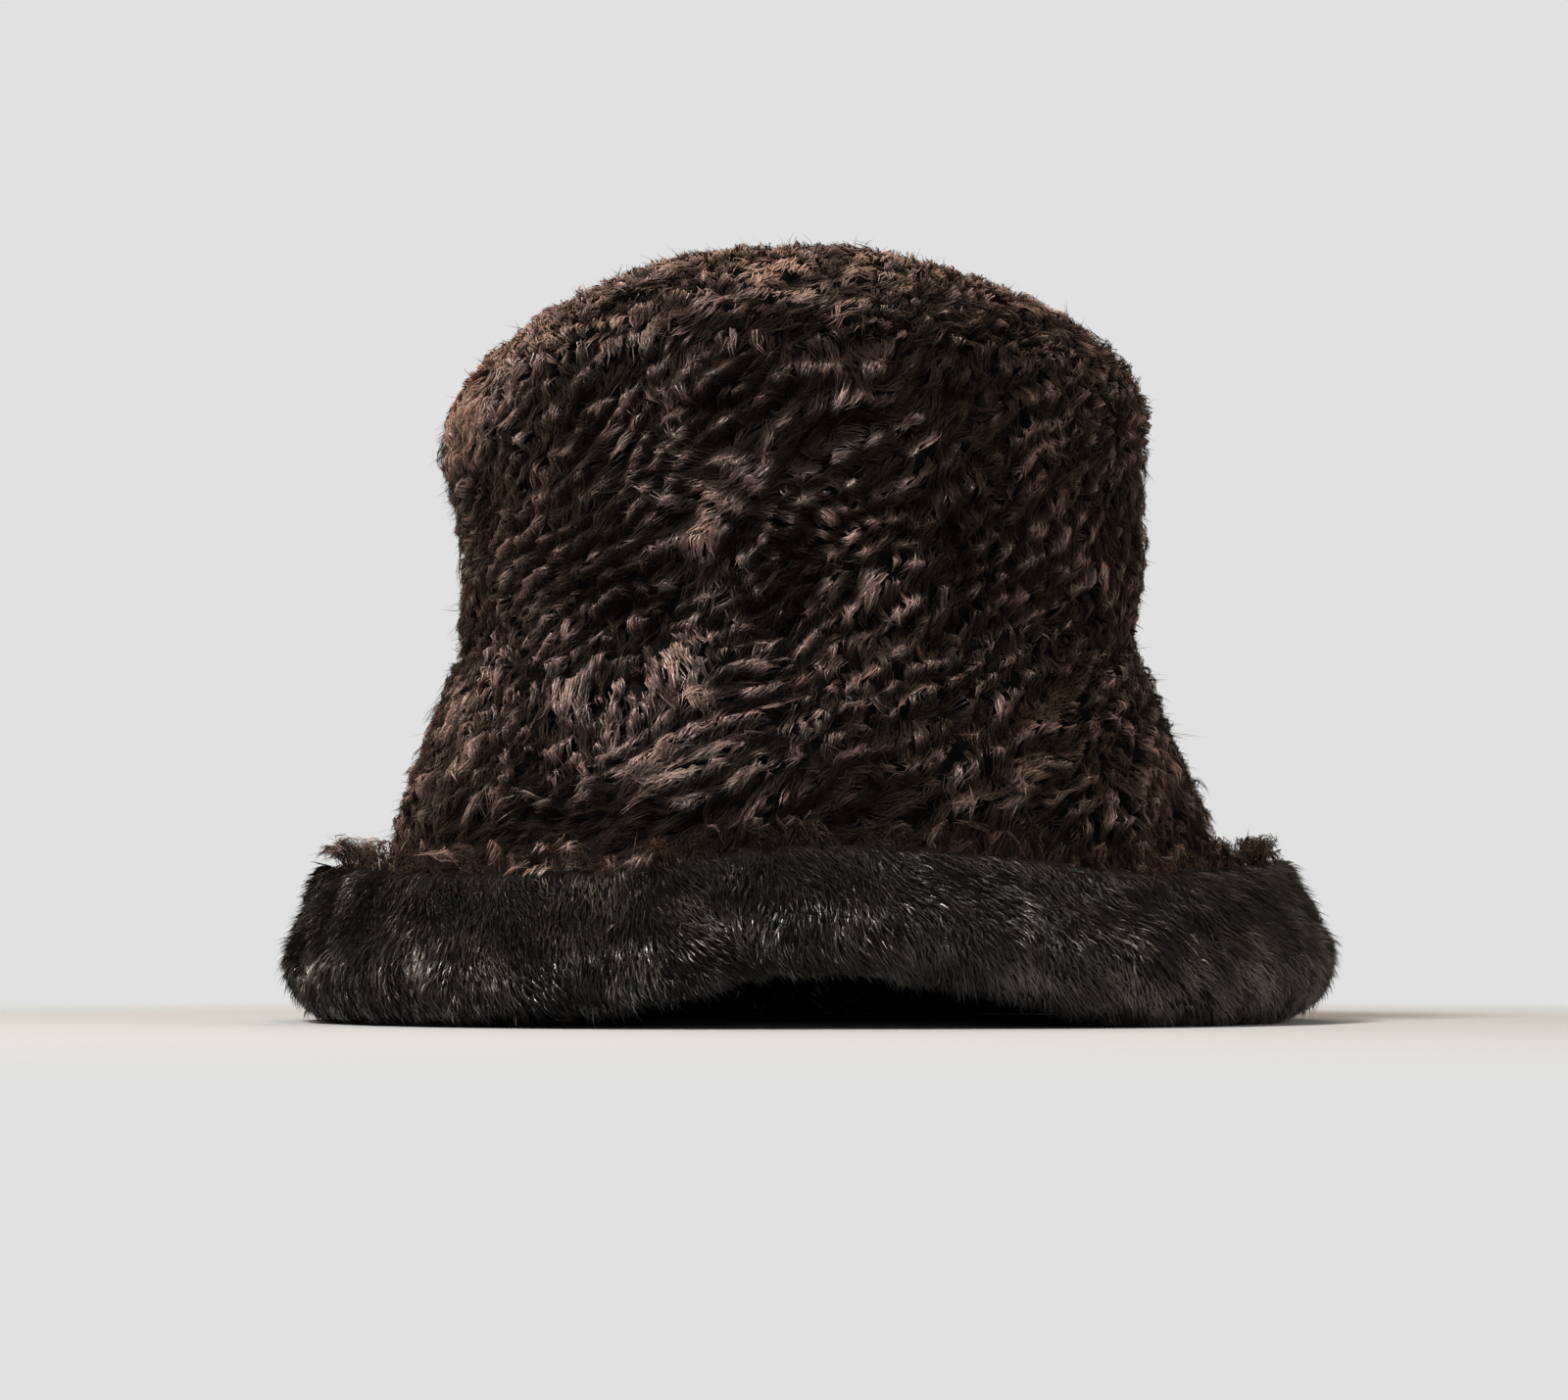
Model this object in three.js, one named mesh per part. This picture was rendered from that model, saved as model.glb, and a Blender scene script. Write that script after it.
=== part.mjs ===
// Faux fur bucket hat: a curly fur crown and brim, the brim faced beneath with
// sleek fur and its front turned up, so that the facing shows as a dark band.
// Millimetres, Z up. The front faces -Y, the wearer's left is +X, and the hat
// rests on Z = 0 on the two flanks of the turned-up fold and on the back edge.
import * as THREE from "three";
import { ParametricGeometry } from "three/addons/geometries/ParametricGeometry.js";
import { mergeVertices } from "three/addons/utils/BufferGeometryUtils.js";

// Oval of the head opening, measured on the cloth backing.
const openingHalfWidth = 91.5;
const openingHalfDepth = 105;
const headSeamHeight = 107;

// The crown: a nearly upright band, then a dome.
const crownFur = 13;
const domeBase = 175;
const domeRise = 55.5;
const tipSeamBack = 182;
const tipSeamForward = 9;

// The brim: curly outside, sleek facing beneath.
const curlyFur = 13;
const curlyFurInFold = 9.6;
const sleekFur = 5.5;
const flareAtSeam = 18;
const foldCompression = 50;
const edgeOverhang = 8.5;
const edgeLap = 3;
const facingStart = 3;
const facingShort = 1.2;

const seamGap = 0.3;
const azimuthSteps = 54;
const slopeSteps = 5;
const flapSteps = 2;

// Shares of the fold at which it is cut; the third and fourth stand either side of
// its lowest line, which is pressed flat where it rests.
const bendShares = [0, 0.15, 0.29, 0.46, 0.64, 0.82];

// Moves the middle of the finished outline over the origin.
const centreX = 3.07;
const centreY = 0.91;

// One row for each section of the brim, round from the back past the wearer's right.
// azimuth: degrees from the front, towards +X. lowest: height of the backing at the
// fold or at the hanging edge. slope: lean from upright at the foot of the brim.
// bend: radius of the fold. turn: degrees the cloth turns there. flap: what stands past it.
const brimSections = [
  { azimuth: -180, lowest: 4.4, slope: 33, bend: 40, turn: 6, flap: 4 },
  { azimuth: -158, lowest: 4.4, slope: 33, bend: 36, turn: 8, flap: 5 },
  { azimuth: -140, lowest: 8.5, slope: 32, bend: 22, turn: 28, flap: 9 },
  { azimuth: -122, lowest: 9.0, slope: 29.5, bend: 13, turn: 96, flap: 15 },
  { azimuth: -106, lowest: 8.0, slope: 24, bend: 11, turn: 158, flap: 21 },
  { azimuth: -90, lowest: 6.5, slope: 22.5, bend: 11, turn: 177, flap: 25 },
  { azimuth: -62, lowest: 4.5, slope: 24, bend: 11, turn: 174, flap: 24 },
  { azimuth: -38, lowest: 4.5, slope: 26, bend: 11.5, turn: 168, flap: 21 },
  { azimuth: -18, lowest: 8.5, slope: 27, bend: 11.5, turn: 167, flap: 17 },
  { azimuth: 0, lowest: 18.0, slope: 27, bend: 11.5, turn: 170, flap: 13 },
  { azimuth: 18, lowest: 13.5, slope: 27, bend: 11.5, turn: 169, flap: 16 },
  { azimuth: 37, lowest: 4.5, slope: 27.5, bend: 11.5, turn: 167, flap: 21 },
  { azimuth: 60, lowest: 4.7, slope: 29, bend: 11, turn: 172, flap: 24 },
  { azimuth: 90, lowest: 8.0, slope: 29.5, bend: 11, turn: 177, flap: 25 },
  { azimuth: 107, lowest: 9.0, slope: 30.5, bend: 11, turn: 156, flap: 21 },
  { azimuth: 123, lowest: 10.0, slope: 31.5, bend: 13, turn: 94, flap: 15 },
  { azimuth: 141, lowest: 8.5, slope: 33, bend: 22, turn: 26, flap: 9 },
  { azimuth: 160, lowest: 4.4, slope: 33, bend: 36, turn: 8, flap: 5 },
];

// One row for each broad swell or dent. out: millimetres outwards. around: degrees,
// up: millimetres, both the half-width of the swell.
const swells = [
  { azimuth: -92, height: 168, out: 4, around: 24, up: 12 },
  { azimuth: -86, height: 134, out: -2, around: 26, up: 15 },
  { azimuth: 88, height: 112, out: -3, around: 24, up: 10 },
  { azimuth: 78, height: 186, out: 2.5, around: 22, up: 16 },
  { azimuth: -20, height: 112, out: -2, around: 34, up: 9 },
  { azimuth: 12, height: 178, out: -2, around: 26, up: 10 },
  { azimuth: -34, height: 152, out: 2, around: 24, up: 18 },
  { azimuth: 34, height: 140, out: 1.5, around: 20, up: 16 },
  { azimuth: -74, height: 206, out: -3.5, around: 30, up: 14 },
  { azimuth: 62, height: 220, out: -5, around: 34, up: 12 },
  { azimuth: 150, height: 160, out: 2, around: 30, up: 24 },
  { azimuth: -150, height: 130, out: -2, around: 26, up: 20 },
];

const radians = THREE.MathUtils.degToRad;

function turned(degrees) {
  return THREE.MathUtils.euclideanModulo(degrees + 180, 360) - 180;
}

// Cubic through a column of the section table, closed round the hat.
function aroundBrim(column, azimuth) {
  const count = brimSections.length;
  const at = (i) => {
    const lap = Math.floor(i / count);
    const row = brimSections[i - lap * count];
    return { x: row.azimuth + 360 * lap, y: row[column] };
  };
  const here = turned(azimuth);
  let i = count - 1;
  while (brimSections[i].azimuth > here) i -= 1;
  const [a, b, c, d] = [at(i - 1), at(i), at(i + 1), at(i + 2)];
  const span = c.x - b.x;
  const share = (here - b.x) / span;
  const leave = ((c.y - a.y) / (c.x - a.x)) * span;
  const arrive = ((d.y - b.y) / (d.x - b.x)) * span;
  const s2 = share * share;
  const s3 = s2 * share;
  return (
    (2 * s3 - 3 * s2 + 1) * b.y +
    (s3 - 2 * s2 + share) * leave +
    (3 * s2 - 2 * s3) * c.y +
    (s3 - s2) * arrive
  );
}

function swellAt(azimuth, height) {
  return swells.reduce((sum, row) => {
    const across = turned(azimuth - row.azimuth) / row.around;
    const along = (height - row.height) / row.up;
    return sum + row.out * Math.exp(-(across * across + along * along));
  }, 0);
}

// A point out from the opening's oval: scale shrinks the oval, out moves outwards.
function place(azimuth, scale, out, height) {
  const t = radians(azimuth);
  return new THREE.Vector3(
    Math.sin(t) * (openingHalfWidth * scale + out) - centreX,
    -Math.cos(t) * (openingHalfDepth * scale + out) - centreY,
    Math.max(height, 0),
  );
}

// The crown's outer form, by the dome's own angle: 0 at its base, 90 at the apex.
function crownOuter(azimuth, height, domeAngle) {
  const level = height ?? domeBase + domeRise * Math.sin(radians(domeAngle));
  const angle = domeAngle ?? 0;
  const shrink = Math.cos(radians(angle));
  const swell = swellAt(azimuth, level) * Math.min(1, shrink * 1.5);
  return place(azimuth, shrink, crownFur * shrink + swell, level);
}

function crownInner(azimuth, height, domeAngle) {
  const rise = domeRise - crownFur;
  const level = height ?? domeBase + rise * Math.sin(radians(domeAngle));
  const shrink = Math.cos(radians(domeAngle ?? 0));
  const swell = swellAt(azimuth, level) * Math.min(1, shrink * 1.5);
  return place(azimuth, shrink, swell * 0.8, level);
}

function tipSeamAngle(azimuth) {
  const lift = (tipSeamForward * (1 + Math.cos(radians(azimuth)))) / 2;
  return THREE.MathUtils.radToDeg(
    Math.asin((tipSeamBack + lift - domeBase) / domeRise),
  );
}

// The brim's backing in one upright section: slope, then fold, then flap.
function brimSection(azimuth) {
  const foot = radians(aroundBrim("slope", azimuth));
  const top = radians(flareAtSeam);
  const radius = aroundBrim("bend", azimuth);
  const turn = radians(aroundBrim("turn", azimuth));
  const flap = aroundBrim("flap", azimuth);
  const end = foot + turn;
  const drop =
    end >= Math.PI / 2
      ? radius * (1 - Math.sin(foot))
      : radius * (Math.sin(end) - Math.sin(foot)) + flap * Math.cos(end);
  const fall = headSeamHeight - aroundBrim("lowest", azimuth) - drop;
  const curve = fall / (Math.sin(foot) - Math.sin(top));
  const slope = curve * (foot - top);
  const footOut = curve * (Math.cos(top) - Math.cos(foot));
  const bendOut = footOut + radius * (Math.cos(foot) - Math.cos(end));
  const bendHeight =
    headSeamHeight - fall - radius * (Math.sin(end) - Math.sin(foot));

  // Point and direction at a length along the backing from the head seam.
  function at(length) {
    if (length <= slope) {
      const lean = top + ((foot - top) * length) / slope;
      return {
        lean,
        out: curve * (Math.cos(top) - Math.cos(lean)),
        height: headSeamHeight - curve * (Math.sin(lean) - Math.sin(top)),
      };
    }
    if (length <= slope + radius * turn) {
      const lean = foot + (length - slope) / radius;
      return {
        lean,
        out: footOut + radius * (Math.cos(foot) - Math.cos(lean)),
        height:
          headSeamHeight - fall - radius * (Math.sin(lean) - Math.sin(foot)),
      };
    }
    const past = length - slope - radius * turn;
    return {
      lean: end,
      out: bendOut + past * Math.sin(end),
      height: bendHeight - past * Math.cos(end),
    };
  }

  const folded = THREE.MathUtils.smoothstep(turn, radians(20), radians(110));
  return { at, slope, bend: radius * turn, flap, folded };
}

// Fur depth on the curly side: pressed thinner where the fold doubles it.
function curlyDepth(section, length) {
  const pressed = THREE.MathUtils.smoothstep(
    length,
    section.slope - foldCompression,
    section.slope - foldCompression / 3,
  );
  return curlyFur - (curlyFur - curlyFurInFold) * section.folded * pressed;
}

// Off the backing by depth on the curly side, or below it on the facing's side.
function offBacking(azimuth, section, length, depth) {
  const { lean, out, height } = section.at(length);
  const swell = swellAt(azimuth, height) * Math.max(0, 1 - length / 40);
  return place(
    azimuth,
    1,
    out + depth * Math.cos(lean) + swell,
    height + depth * Math.sin(lean),
  );
}

// Lengths along the backing between two ends, closer together in the fold.
function stations(section, from, to) {
  const lengths = [];
  for (let i = 0; i < slopeSteps; i += 1)
    lengths.push(from + ((section.slope - from) * i) / slopeSteps);
  for (const share of bendShares)
    lengths.push(section.slope + section.bend * share);
  const past = section.slope + section.bend;
  for (let i = 0; i <= flapSteps; i += 1)
    lengths.push(past + ((to - past) * i) / flapSteps);
  return lengths;
}

function brimOuterLoop(azimuth) {
  const section = brimSection(azimuth);
  const edge = section.slope + section.bend + section.flap;
  const faced = stations(section, facingStart, edge - facingShort);
  const lengths = [0, ...faced, edge];
  const deep = curlyDepth(section, edge);
  const loop = lengths.map((length) =>
    offBacking(azimuth, section, length, curlyDepth(section, length)),
  );
  const rim = [
    { past: 0.55 * edgeOverhang, depth: 0.9 * deep },
    { past: 0.95 * edgeOverhang, depth: 0.5 * deep },
    { past: 0.95 * edgeOverhang, depth: 0.05 * deep },
    { past: 0.45 * edgeOverhang, depth: -edgeLap },
  ];
  for (const { past, depth } of rim)
    loop.push(offBacking(azimuth, section, edge + past, depth));
  for (const length of lengths.reverse())
    loop.push(offBacking(azimuth, section, length, seamGap / 2));
  return loop;
}

function facingLoop(azimuth) {
  const section = brimSection(azimuth);
  const edge = section.slope + section.bend + section.flap - facingShort;
  const lengths = stations(section, facingStart, edge);
  const last = lengths.length - 1;
  const loop = lengths.map((length) =>
    offBacking(azimuth, section, length, -seamGap / 2),
  );
  lengths.reverse().forEach((length, i) => {
    const thin = i === 0 || i === last ? 0.75 : 1;
    loop.push(offBacking(azimuth, section, length, -sleekFur * thin));
  });
  return loop;
}

function crownSideLoop(azimuth) {
  const tip = tipSeamAngle(azimuth);
  const heights = [0, 0.33, 0.67, 1];
  const foot = headSeamHeight + 1.5 * seamGap;
  const footOuter = foot + crownFur * Math.tan(radians(flareAtSeam));
  const loop = [];
  for (const share of heights)
    loop.push(crownInner(azimuth, foot + (domeBase - foot) * share));
  loop.push(crownInner(azimuth, null, tip));
  for (const share of [1, 0.5])
    loop.push(crownOuter(azimuth, null, tip * share));
  for (const share of heights.toReversed())
    loop.push(
      crownOuter(azimuth, footOuter + (domeBase - footOuter) * share),
    );
  return loop;
}

function crownTipLine(azimuth) {
  const start = tipSeamAngle(azimuth) + 0.45;
  const shares = [0, 0.16, 0.33, 0.5, 0.67, 0.84, 1];
  const line = [];
  for (const share of shares.toReversed())
    line.push(crownOuter(azimuth, null, start + (90 - start) * share));
  for (const share of shares)
    line.push(crownInner(azimuth, null, start + (90 - start) * share));
  return line;
}

// One closed surface from a loop of points at each azimuth. An open line starts
// and ends on the axis, where its faces shrink to triangles. Crossed cuts each
// square along its other diagonal, so that it lies on its neighbour's faces.
function solidOfLoops(loopAt, closed, crossed = false) {
  const loops = [];
  for (let i = 0; i < azimuthSteps; i += 1)
    loops.push(loopAt(-180 + (360 * i) / azimuthSteps));
  const count = loops[0].length;
  const stacks = closed ? count : count - 1;
  const surface = new ParametricGeometry(
    (along, around, target) => {
      const i = Math.round(around * azimuthSteps) % azimuthSteps;
      target.copy(loops[i][Math.round(along * stacks) % count]);
    },
    stacks,
    azimuthSteps,
  );
  surface.deleteAttribute("normal");
  surface.deleteAttribute("uv");
  if (crossed) {
    const squares = surface.index.array;
    for (let i = 0; i < squares.length; i += 6) {
      const [a, b, d, , c] = squares.slice(i, i + 6);
      squares.set([a, b, c, a, c, d], i);
    }
  }
  const merged = mergeVertices(surface, 1e-3);
  const index = merged.index.array;
  const faces = [];
  for (let i = 0; i < index.length; i += 3) {
    const [a, b, c] = [index[i], index[i + 1], index[i + 2]];
    if (a !== b && b !== c && c !== a) faces.push(a, b, c);
  }
  merged.setIndex(faces);
  return merged;
}

function addPiece(group, name, geometry, colour, roughness) {
  geometry.computeVertexNormals();
  const mesh = new THREE.Mesh(
    geometry,
    new THREE.MeshStandardMaterial({ color: colour, roughness, metalness: 0 }),
  );
  mesh.name = name;
  group.add(mesh);
}

const curlyBrown = 0x2e221c;
const sleekBlack = 0x1c1a17;

const hat = new THREE.Group();
hat.name = "bucket_hat";
addPiece(hat, "crown_tip", solidOfLoops(crownTipLine, false), curlyBrown, 0.8);
addPiece(hat, "crown_side", solidOfLoops(crownSideLoop, true), curlyBrown, 0.8);
addPiece(
  hat,
  "brim_outer",
  solidOfLoops(brimOuterLoop, true, true),
  curlyBrown,
  0.8,
);
addPiece(hat, "brim_facing", solidOfLoops(facingLoop, true), sleekBlack, 0.45);

export default hat;
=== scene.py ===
"""Looks of the faux fur bucket hat: a curly fur crown and brim, and the brim's sleek facing.

The pieces follow the same formulas as the part's solids. Lengths are in millimetres until
a mesh is made. The front faces -Y, the wearer's left is +X, and the hat rests on Z = 0.
"""
import math

import bpy
import numpy as np
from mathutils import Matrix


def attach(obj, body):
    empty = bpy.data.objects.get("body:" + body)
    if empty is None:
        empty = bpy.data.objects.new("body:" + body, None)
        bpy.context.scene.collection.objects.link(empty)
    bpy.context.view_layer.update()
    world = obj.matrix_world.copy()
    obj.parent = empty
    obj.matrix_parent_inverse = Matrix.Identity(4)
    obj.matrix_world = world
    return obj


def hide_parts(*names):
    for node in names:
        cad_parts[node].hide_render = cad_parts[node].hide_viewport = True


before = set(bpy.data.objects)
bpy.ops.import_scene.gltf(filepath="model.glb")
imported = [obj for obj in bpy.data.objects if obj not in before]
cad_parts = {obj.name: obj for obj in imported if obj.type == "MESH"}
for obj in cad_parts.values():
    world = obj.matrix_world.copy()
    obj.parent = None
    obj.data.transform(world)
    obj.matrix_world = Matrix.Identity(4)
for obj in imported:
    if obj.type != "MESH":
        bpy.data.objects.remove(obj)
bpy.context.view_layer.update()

MM = 0.001

# Oval of the head opening, measured on the cloth backing, and the crown's heights.
OPENING_HALF_WIDTH = 91.5
OPENING_HALF_DEPTH = 105
HEAD_SEAM_HEIGHT = 107
DOME_BASE = 175
DOME_RISE = 55.5
TIP_SEAM_BACK = 182
TIP_SEAM_FORWARD = 9

# Fur depths, and the brim's foot and rim.
CURLY_FUR = 13
CURLY_FUR_IN_FOLD = 9.6
SLEEK_FUR = 5.5
FLARE_AT_SEAM = 18
FLARE_BLEND = 28
FOLD_COMPRESSION = 50
RIM_PIVOT = 4.6
FACING_SHORT = 1.2
CENTRE_X = 3.07
CENTRE_Y = 0.91

# Nothing that hangs down reaches nearer to the floor than this.
FLOOR_CLEARANCE = 0.05

# One row for each section of the brim, round from the back past the wearer's right:
# azimuth, lowest, slope, bend, turn, flap.
BRIM_SECTIONS = np.array([
    (-180, 4.4, 33, 40, 6, 4),
    (-158, 4.4, 33, 36, 8, 5),
    (-140, 8.5, 32, 22, 28, 9),
    (-122, 9.0, 29.5, 13, 96, 15),
    (-106, 8.0, 24, 11, 158, 21),
    (-90, 6.5, 22.5, 11, 177, 25),
    (-62, 4.5, 24, 11, 174, 24),
    (-38, 4.5, 26, 11.5, 168, 21),
    (-18, 8.5, 27, 11.5, 167, 17),
    (0, 18.0, 27, 11.5, 170, 13),
    (18, 13.5, 27, 11.5, 169, 16),
    (37, 4.5, 27.5, 11.5, 167, 21),
    (60, 4.7, 29, 11, 172, 24),
    (90, 8.0, 29.5, 11, 177, 25),
    (107, 9.0, 30.5, 11, 156, 21),
    (123, 10.0, 31.5, 13, 94, 15),
    (141, 8.5, 33, 22, 26, 9),
    (160, 4.4, 33, 36, 8, 5),
])
LOWEST, SLOPE, BEND, TURN, FLAP = range(1, 6)

# One row for each broad swell or dent: azimuth, height, out, around, up.
SWELLS = (
    (-92, 168, 4, 24, 12),
    (-86, 134, -2, 26, 15),
    (88, 112, -3, 24, 10),
    (78, 186, 2.5, 22, 16),
    (-20, 112, -2, 34, 9),
    (12, 178, -2, 26, 10),
    (-34, 152, 2, 24, 18),
    (34, 140, 1.5, 20, 16),
    (-74, 206, -3.5, 30, 14),
    (62, 220, -5, 34, 12),
    (150, 160, 2, 30, 24),
    (-150, 130, -2, 26, 20),
)

# How the curly pile lies, one row for each patch that was combed or crushed its own way:
# azimuth and level of its middle, half-widths around (degrees) and up (millimetres), heading
# of the hairs (degrees from downhill, towards +X at the front), then factors on the locks'
# length, curl and height. The last three rows are the rope over the turned-up edge.
COMBINGS = (
    (-28, 88, 22, 14, -14, 1.25, 0.5, 0.9),
    (-30, 145, 30, 26, -46, 1.0, 1.1, 1.0),
    (2, 132, 18, 22, -56, 1.0, 1.1, 1.05),
    (20, 160, 20, 16, -36, 1.0, 1.2, 0.9),
    (48, 140, 26, 34, -30, 1.0, 0.85, 0.95),
    (0, 240, 400, 30, -10, 0.85, 0.6, 1.0),
    (80, 150, 22, 40, -18, 1.0, 0.5, 1.0),
    (-70, 186, 20, 18, 24, 0.9, 0.45, 1.15),
    (-78, 120, 20, 20, -8, 0.9, 1.2, 0.9),
    (30, 84, 26, 18, -60, 1.1, 1.1, 0.95),
    (-60, 70, 22, 18, 12, 1.0, 1.3, 1.0),
    (70, 70, 26, 20, 35, 1.0, 0.7, 1.0),
    (0, 55, 40, 10, -70, 1.1, 0.8, 1.0),
    (180, 150, 60, 40, 15, 1.0, 1.0, 1.0),
    (-60, -56, 60, 18, -40, 1.0, 1.5, 1.9),
    (0, -48, 40, 18, -50, 0.95, 1.3, 1.8),
    (60, -56, 60, 18, -40, 1.0, 1.1, 1.9),
)

# The lie where no patch is near, in the same order, and its weight beside theirs.
PLAIN_LIE = (-28, 1, 1, 1)
PLAIN_WEIGHT = 0.35

# Hollows where the pile has parted and sunk, its hairs darkened there as painted shade:
# azimuth, level, half-widths around and up, depth.
PARTINGS = (
    (8, 166, 6, 9, 0.75),
    (28, 174, 8, 6, 0.8),
    (24, 134, 2.5, 9, 0.7),
    (-56, 152, 7, 13, 0.7),
    (-12, 172, 8, 6, 0.6),
    (-40, 122, 8, 5, 0.5),
    (14, 108, 12, 4, 0.5),
    (52, 112, 5, 10, 0.5),
    (60, 60, 5, 9, 0.5),
    (-32, 187, 15, 5, 0.5),
    (-4, 189, 14, 5, 0.6),
    (24, 188, 15, 5, 0.5),
    (-58, 46, 17, 8, 0.65),
    (-30, 46, 20, 8, 0.75),
    (0, 47, 20, 8, 0.75),
    (30, 46, 20, 8, 0.75),
    (58, 46, 17, 8, 0.65),
    (-64, 112, 6, 8, 0.55),
    (150, 150, 8, 8, 0.5),
    (-140, 100, 8, 8, 0.5),
)

# Broad painted light and shade on the pile, paler where light falls and darker in shade:
# azimuth, level, change of tone, half-widths around and up.
PAINTED_LIGHT_AND_SHADE = (
    (8, 162, -0.16, 32, 24),
    (-26, 90, 0.09, 34, 20),
    (-68, 190, 0.66, 18, 17),
    (-68, 138, -0.2, 16, 26),
    (-20, 222, 0.15, 60, 18),
    (82, 160, -0.02, 18, 44),
    (50, 190, -0.08, 20, 14),
    (34, 118, -0.06, 18, 16),
    (60, 82, 0.04, 24, 14),
    (0, 60, 0.04, 40, 8),
)

# Rows of curls: how many go round the side, how far apart they are up it, and the same for
# the creases that cut them; then both spacings on the tip, in millimetres.
ROWS_AROUND = 46
ROW_RISE = 9.5
CUTS_AROUND = 38
CUT_RISE = 16
TIP_ROW_SPACING = 9
TIP_CUT_SPACING = 13

# The round and the level on which those rows are laid out before they are bent.
ROWS_RADIUS = 95
TIP_HALF_WIDTH = 92
TIP_HALF_DEPTH = 106
TIP_LEVEL = 200.0

# Small steps for slopes: degrees round and millimetres along a cloth, and shares of the tip.
STEPS = (0.2, 0.3)
TIP_STEPS = (0.002, 0.002)


# Arithmetic on whole arrays.

def smooth(x, low, high):
    """0 below low and 1 above high, with three squares less two cubes between."""
    s = np.clip((x - low) / (high - low), 0, 1)
    return s * s * (3 - 2 * s)


def unit(vectors):
    """Vectors over their own length."""
    return vectors / np.maximum(np.linalg.norm(vectors, axis=-1, keepdims=True), 1e-9)


def turned(degrees):
    """The same direction from -180 up to 180."""
    return (degrees + 180) % 360 - 180


def even_points(count, seed):
    """Points spread evenly in a unit square: multiples of two irrational steps, wrapped."""
    start = np.random.default_rng(seed).random(2)
    steps = np.array([0.7548776662, 0.5698402910])
    return (start + np.arange(1, count + 1)[:, None] * steps) % 1


def wander(points, wavelength, seed, waves=14):
    """Smooth noise of about unit size: a sum of sines along random directions in space."""
    rng = np.random.default_rng(seed)
    rates = unit(rng.normal(size=(waves, 3))) * 2 * np.pi / wavelength
    rates *= rng.uniform(0.6, 1.5, (waves, 1))
    phases = rng.uniform(0, 2 * np.pi, waves)
    return np.sin(points @ rates.T + phases).sum(-1) * math.sqrt(2 / waves)


# The hat's surfaces, as functions of two parameters and a depth off the cloth backing.

def around_brim(column, azimuth):
    """Cubic through a column of the section table, closed round the hat: each row's slope is
    that from the row before it to the row after."""
    x = BRIM_SECTIONS[:, 0]
    y = BRIM_SECTIONS[:, column]
    xs = np.concatenate([x[-2:] - 360, x, x[:3] + 360])
    ys = np.concatenate([y[-2:], y, y[:3]])
    tilt = np.zeros(len(xs))
    tilt[1:-1] = (ys[2:] - ys[:-2]) / (xs[2:] - xs[:-2])
    here = turned(azimuth)
    i = np.searchsorted(xs, here, side="right") - 1
    span = xs[i + 1] - xs[i]
    s = (here - xs[i]) / span
    leave = tilt[i] * span
    arrive = tilt[i + 1] * span
    return (
        (2 * s**3 - 3 * s**2 + 1) * ys[i]
        + (s**3 - 2 * s**2 + s) * leave
        + (3 * s**2 - 2 * s**3) * ys[i + 1]
        + (s**3 - s**2) * arrive
    )


def bump_sum(rows, azimuth, height):
    """Sum of round bumps, each its size times e to the minus its squared distance."""
    total = 0
    for at, level, size, around, up in rows:
        across = turned(azimuth - at) / around
        along = (height - level) / up
        total = total + size * np.exp(-(across**2 + along**2))
    return total


def place(azimuth, scale, out, height):
    """A point out from the opening's oval: scale shrinks the oval, out moves outwards."""
    t = np.radians(azimuth)
    x = np.sin(t) * (OPENING_HALF_WIDTH * scale + out) - CENTRE_X
    y = -np.cos(t) * (OPENING_HALF_DEPTH * scale + out) - CENTRE_Y
    return np.stack(np.broadcast_arrays(x, y, height), -1)


def crown_layer(azimuth, angle, fall, depth, lean):
    """A layer of the crown: the dome's inner arc at an angle, or a fall below its base, then
    depth along the lean."""
    shrink = np.cos(angle)
    height = DOME_BASE - fall + (DOME_RISE - CURLY_FUR) * np.sin(angle)
    level = height + depth * np.sin(lean)
    swell = bump_sum(SWELLS, azimuth, height + depth * np.sin(angle))
    swell = swell * np.minimum(1, 1.5 * shrink) * (0.8 + 0.2 * depth / CURLY_FUR)
    return place(azimuth, shrink, swell + depth * np.cos(lean), level)


def crown_band(azimuth, level, depth):
    """The crown's side. Level is height up to the dome's base, then length along the dome."""
    angle = np.maximum(level - DOME_BASE, 0) / DOME_RISE
    flare = 1 - smooth(level, HEAD_SEAM_HEIGHT, HEAD_SEAM_HEIGHT + FLARE_BLEND)
    lean = angle + math.radians(FLARE_AT_SEAM) * flare
    return crown_layer(azimuth, angle, np.maximum(DOME_BASE - level, 0), depth, lean)


def crown_dome(a, b, depth):
    """The crown's top. The distance of a, b from 0 is the share of a quarter turn from the
    apex, and -b is the front."""
    share = np.hypot(a, b)
    angle = np.maximum(1 - share, 0) * np.pi / 2
    fall = np.maximum(share - 1, 0) * DOME_RISE * np.pi / 2
    azimuth = np.degrees(np.arctan2(a, -b))
    return crown_layer(azimuth, angle, fall, depth, angle)


def tip_seam_angle(azimuth):
    """The dome's angle, in radians, at the seam round the tip, which rises at the front."""
    lift = TIP_SEAM_FORWARD * (1 + np.cos(np.radians(azimuth))) / 2
    return np.arcsin((TIP_SEAM_BACK + lift - DOME_BASE) / DOME_RISE)


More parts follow.
